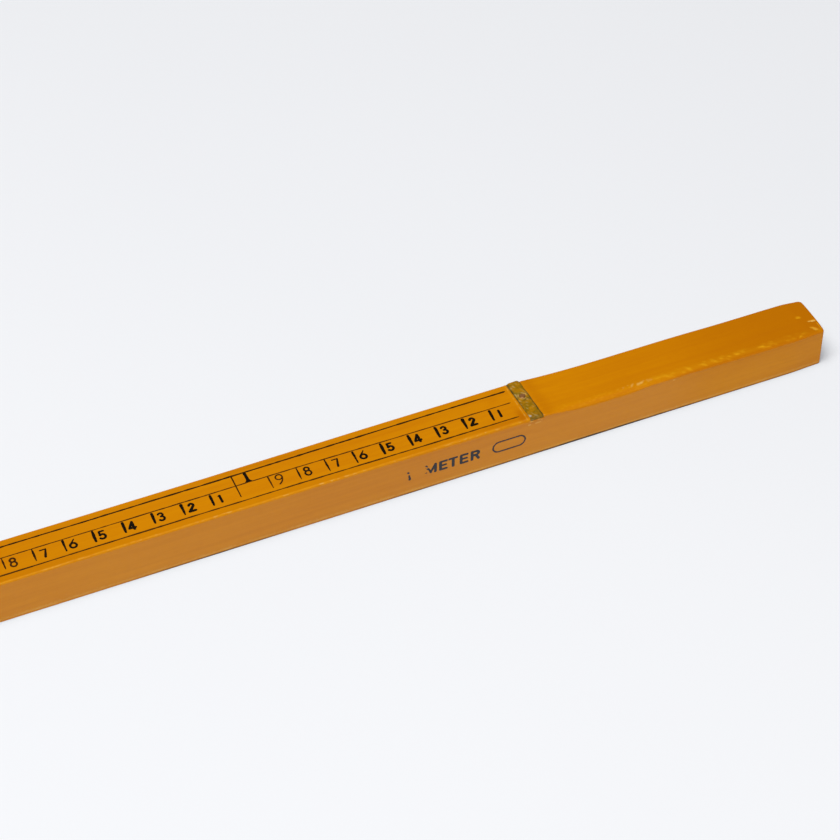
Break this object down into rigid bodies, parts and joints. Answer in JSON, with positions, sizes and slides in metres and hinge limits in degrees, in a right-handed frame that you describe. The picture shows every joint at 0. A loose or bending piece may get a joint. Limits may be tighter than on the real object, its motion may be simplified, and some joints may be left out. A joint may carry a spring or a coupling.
{
  "type": "wooden metre stick",
  "caption": "Square lacquered wooden metre stick with a lower rounded grip, a brass strip let in across the zero mark and a strapped far end.",
  "frame": {"origin": "the zero mark (the zero strip's edge on the scale side, at the far long edge), in the middle of the stick's width, on the face it rests on", "axes": "+X towards the end of the grip, so a reading r lies at x = -r; +Y away from the side face that bears the legend; +Z out of the graduated face"},
  "size_m": [1.114, 0.0188, 0.0176],
  "materials": {
    "wood": "amber lacquer over fine straight-grained wood, glossy",
    "brass": "hammered, tarnished to olive brown",
    "pin": "copper-coloured, peened",
    "line_ink": "thin brown-black printed line under lacquer",
    "ink": "black printed ink under lacquer",
    "legend_ink": "slate-black stamped ink, worn"
  },
  "bodies": {
    "root": {"stick": "wood", "zero_strip": "brass", "zero_strip_pin": "pin", "tip_shoe": "brass", "tip_shoe_pins": "pin", "ruled_lines": "line_ink", "centimetre_ticks": "ink", "centimetre_figures": "ink", "decimetre_figures": "ink", "unit_legend": "legend_ink", "side_mark": "legend_ink"}
  },
  "joints": []
}
